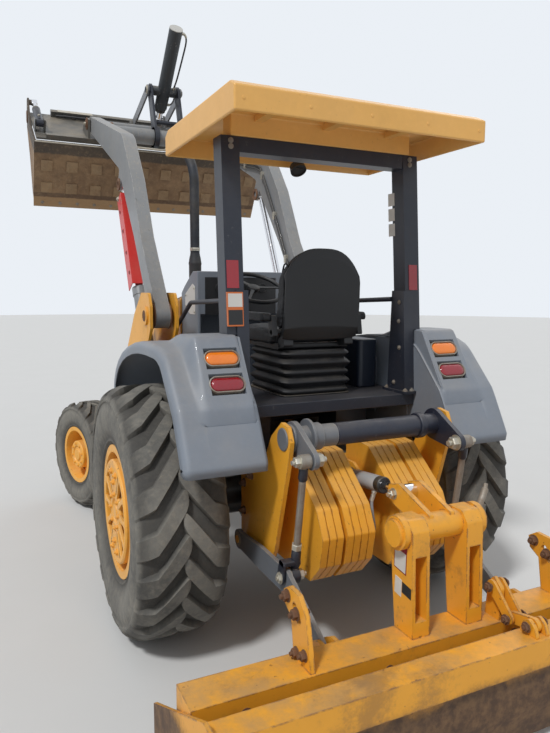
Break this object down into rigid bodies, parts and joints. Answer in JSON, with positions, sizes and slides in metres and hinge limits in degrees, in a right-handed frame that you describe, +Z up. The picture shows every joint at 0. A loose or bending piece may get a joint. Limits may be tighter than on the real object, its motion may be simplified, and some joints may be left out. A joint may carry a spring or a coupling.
{
  "type": "wheel loader",
  "caption": "Industrial tractor loader with knee-shaped arms, raised clam bucket, open roll-over frame with canopy, rear hitch and a box blade; steered front wheels.",
  "frame": {"origin": "on the ground, under the centre of the machine's bounding box", "axes": "+X to the machine's right, +Y forward, +Z up"},
  "size_m": [2.146, 5.059, 3.8655],
  "materials": {
    "tyre_rubber": "dusty rubber",
    "yellow_paint": "satin paint with dust and chips",
    "grey_paint": "satin slate-grey paint",
    "charcoal_paint": "satin charcoal paint",
    "black_paint": "matt black paint with grime",
    "worn_paint": "worn paint with rust and earth",
    "red_paint": "satin red paint",
    "chrome_rod": "polished",
    "black_vinyl": "stitched vinyl",
    "black_plastic": "grained plastic",
    "red_lens": "ribbed lens",
    "amber_lens": "ribbed lens"
  },
  "bodies": {
    "chassis": {"frame": "yellow_paint", "engine": "black_paint", "transaxle": "black_paint", "front_axle": "black_paint", "loader_tower_left": "yellow_paint", "loader_tower_right": "yellow_paint", "hood": "yellow_paint", "grille": "charcoal_paint", "cowl": "grey_paint", "platform": "black_paint", "fender_left": "grey_paint", "fender_right": "grey_paint", "tail_lamps": "red_lens", "turn_lamps": "amber_lens", "rops": "charcoal_paint", "canopy": "yellow_paint", "seat_suspension": "black_plastic", "seat": "black_vinyl", "console": "charcoal_paint", "control_levers": "black_plastic", "steering_wheel": "black_plastic", "exhaust": "black_paint", "fuel_tank": "yellow_paint", "battery_box": "yellow_paint", "handrails": "black_paint", "rear_frame": "yellow_paint", "counterweights": "yellow_paint"},
    "rear_wheel_left": {"rear_left_tyre": "tyre_rubber", "rear_left_rim": "yellow_paint"},
    "rear_wheel_right": {"rear_right_tyre": "tyre_rubber", "rear_right_rim": "yellow_paint"},
    "knuckle_left": {"steering_knuckle_left": "black_paint"},
    "knuckle_right": {"steering_knuckle_right": "black_paint"},
    "tie_rod": {"tie_rod": "black_paint"},
    "front_wheel_left": {"front_left_tyre": "tyre_rubber", "front_left_rim": "yellow_paint"},
    "front_wheel_right": {"front_right_tyre": "tyre_rubber", "front_right_rim": "yellow_paint"},
    "boom": {"boom": "grey_paint"},
    "lift_barrels": {"lift_barrel_left": "grey_paint", "lift_barrel_right": "grey_paint"},
    "lift_cylinder_rods": {"lift_rod_left": "chrome_rod", "lift_rod_right": "chrome_rod", "lift_lock": "red_paint"},
    "bucket_levers": {"bucket_levers": "charcoal_paint"},
    "bucket_links": {"bucket_links": "charcoal_paint"},
    "bucket_barrel": {"bucket_barrel": "charcoal_paint"},
    "bucket_rod": {"bucket_rod": "chrome_rod"},
    "bucket": {"bucket_back": "worn_paint"},
    "clam": {"clam": "worn_paint"},
    "clam_barrels": {"clam_barrels": "charcoal_paint"},
    "clam_rods": {"clam_rods": "chrome_rod"},
    "rockshaft": {"rockshaft": "charcoal_paint"},
    "hitch_lift_rods": {"lift_rods": "charcoal_paint"},
    "lower_links": {"lower_links": "black_paint"},
    "box_blade": {"box_blade": "worn_paint"},
    "top_link_barrel": {"top_link_barrel": "charcoal_paint"},
    "top_link_rod": {"top_link_rod": "chrome_rod"}
  },
  "joints": [
    {"name": "rear_wheel_left_spin", "type": "hinge", "parent": "chassis", "child": "rear_wheel_left", "pos_m": [-0.82, -0.96949, 0.625], "axis": [1, 0, 0], "continuous": true},
    {"name": "rear_wheel_right_spin", "type": "hinge", "parent": "chassis", "child": "rear_wheel_right", "pos_m": [0.82, -0.96949, 0.625], "axis": [1, 0, 0], "continuous": true},
    {"name": "steer_left", "type": "hinge", "parent": "chassis", "child": "knuckle_left", "pos_m": [-0.7, 1.11051, 0.415], "axis": [0, 0, 1], "range_deg": [-54, 22]},
    {"name": "steer_right", "type": "hinge", "parent": "chassis", "child": "knuckle_right", "pos_m": [0.7, 1.11051, 0.415], "axis": [0, 0, 1], "range_deg": [-54, 22]},
    {"name": "tie_rod_slide", "type": "slide", "parent": "chassis", "child": "tie_rod", "axis": [1, 0, 0], "range_m": [-0.1282, 0.0528]},
    {"name": "front_wheel_left_spin", "type": "hinge", "parent": "knuckle_left", "child": "front_wheel_left", "pos_m": [-0.80093, 1.08157, 0.415], "axis": [0.9613, 0.2756, 0], "continuous": true},
    {"name": "front_wheel_right_spin", "type": "hinge", "parent": "knuckle_right", "child": "front_wheel_right", "pos_m": [0.80093, 1.13946, 0.415], "axis": [0.9613, 0.2756, 0], "continuous": true},
    {"name": "boom_lift", "type": "hinge", "parent": "chassis", "child": "boom", "pos_m": [0, -0.16849, 1.558], "axis": [1, 0, 0], "range_deg": [-70, 2]},
    {"name": "lift_barrel_tilt", "type": "hinge", "parent": "chassis", "child": "lift_barrels", "pos_m": [0, -0.06249, 0.85], "axis": [1, 0, 0], "range_deg": [-54.79, 1.95]},
    {"name": "lift_rod_slide", "type": "slide", "parent": "lift_barrels", "child": "lift_cylinder_rods", "axis": [0, 0.4413, 0.8974], "range_m": [-0.7016, 0.0239]},
    {"name": "bucket_curl", "type": "hinge", "parent": "boom", "child": "bucket", "pos_m": [0, 1.91451, 3.17], "axis": [1, 0, 0], "range_deg": [0, 138]},
    {"name": "bucket_lever_swing", "type": "hinge", "parent": "boom", "child": "bucket_levers", "pos_m": [0, 1.47451, 3.01], "axis": [1, 0, 0], "range_deg": [-0.4, 87.27]},
    {"name": "bucket_link_swing", "type": "hinge", "parent": "bucket_levers", "child": "bucket_links", "pos_m": [0, 1.61451, 3.44], "axis": [1, 0, 0], "range_deg": [-58.77, 0.4]},
    {"name": "bucket_barrel_tilt", "type": "hinge", "parent": "bucket_levers", "child": "bucket_barrel", "pos_m": [0, 1.61451, 3.44], "axis": [1, 0, 0], "range_deg": [-37.24, 0.4]},
    {"name": "bucket_rod_slide", "type": "slide", "parent": "bucket_barrel", "child": "bucket_rod", "axis": [0, 0.725, -0.6887], "range_m": [-0.004, 0.5275]},
    {"name": "clam_open", "type": "hinge", "parent": "bucket", "child": "clam", "pos_m": [0, 2.43985, 3.3001], "axis": [1, 0, 0], "range_deg": [0, 55]},
    {"name": "clam_barrel_tilt", "type": "hinge", "parent": "bucket", "child": "clam_barrels", "pos_m": [0, 1.99398, 3.15237], "axis": [1, 0, 0], "range_deg": [-0.453, 0.4]},
    {"name": "clam_rod_slide", "type": "slide", "parent": "clam_barrels", "child": "clam_rods", "axis": [0, 0.84, 0.5426], "range_m": [-0.1214, 0.004]},
    {"name": "hitch_lift", "type": "hinge", "parent": "chassis", "child": "lower_links", "pos_m": [0, -1.26949, 0.5], "axis": [1, 0, 0], "range_deg": [-20, 6]},
    {"name": "rockshaft_turn", "type": "hinge", "parent": "chassis", "child": "rockshaft", "pos_m": [0, -1.68949, 1.09], "axis": [1, 0, 0], "range_deg": [-58.13, 17.72]},
    {"name": "hitch_lift_rod_swing", "type": "hinge", "parent": "rockshaft", "child": "hitch_lift_rods", "pos_m": [0, -1.85949, 1.035], "axis": [1, 0, 0], "range_deg": [-18.45, 60.58]},
    {"name": "box_blade_tilt", "type": "hinge", "parent": "lower_links", "child": "box_blade", "pos_m": [0, -2.09949, 0.36], "axis": [-1, 0, 0], "range_deg": [-12, 12]},
    {"name": "top_link_swing", "type": "hinge", "parent": "chassis", "child": "top_link_barrel", "pos_m": [0, -1.50949, 0.836], "axis": [1, 0, 0], "range_deg": [-31.4, 9.7]},
    {"name": "top_link_slide", "type": "slide", "parent": "top_link_barrel", "child": "top_link_rod", "axis": [0, -0.9937, 0.1121], "range_m": [-0.1158, 0.1158]}
  ],
  "couplings": [
    {"joint": "steer_right", "follows": "steer_left", "ratio": 1},
    {"joint": "tie_rod_slide", "follows": "steer_left", "m_per_rad": 0.135},
    {"joint": "lift_barrel_tilt", "follows": "boom_lift", "ratio": 0.777},
    {"joint": "lift_rod_slide", "follows": "boom_lift", "m_per_rad": 0.57097},
    {"joint": "bucket_lever_swing", "follows": "bucket_curl", "ratio": 0.62947},
    {"joint": "bucket_link_swing", "follows": "bucket_curl", "ratio": -0.42301},
    {"joint": "bucket_barrel_tilt", "follows": "bucket_curl", "ratio": -0.26693},
    {"joint": "bucket_rod_slide", "follows": "bucket_curl", "m_per_rad": 0.21734},
    {"joint": "clam_barrel_tilt", "follows": "clam_open", "ratio": -0.000969},
    {"joint": "clam_rod_slide", "follows": "clam_open", "m_per_rad": -0.12232},
    {"joint": "rockshaft_turn", "follows": "hitch_lift", "ratio": 2.8864},
    {"joint": "hitch_lift_rod_swing", "follows": "hitch_lift", "ratio": -3.0092},
    {"joint": "top_link_swing", "follows": "hitch_lift", "ratio": 1.55},
    {"joint": "top_link_slide", "follows": "box_blade_tilt", "m_per_rad": -0.53377}
  ]
}
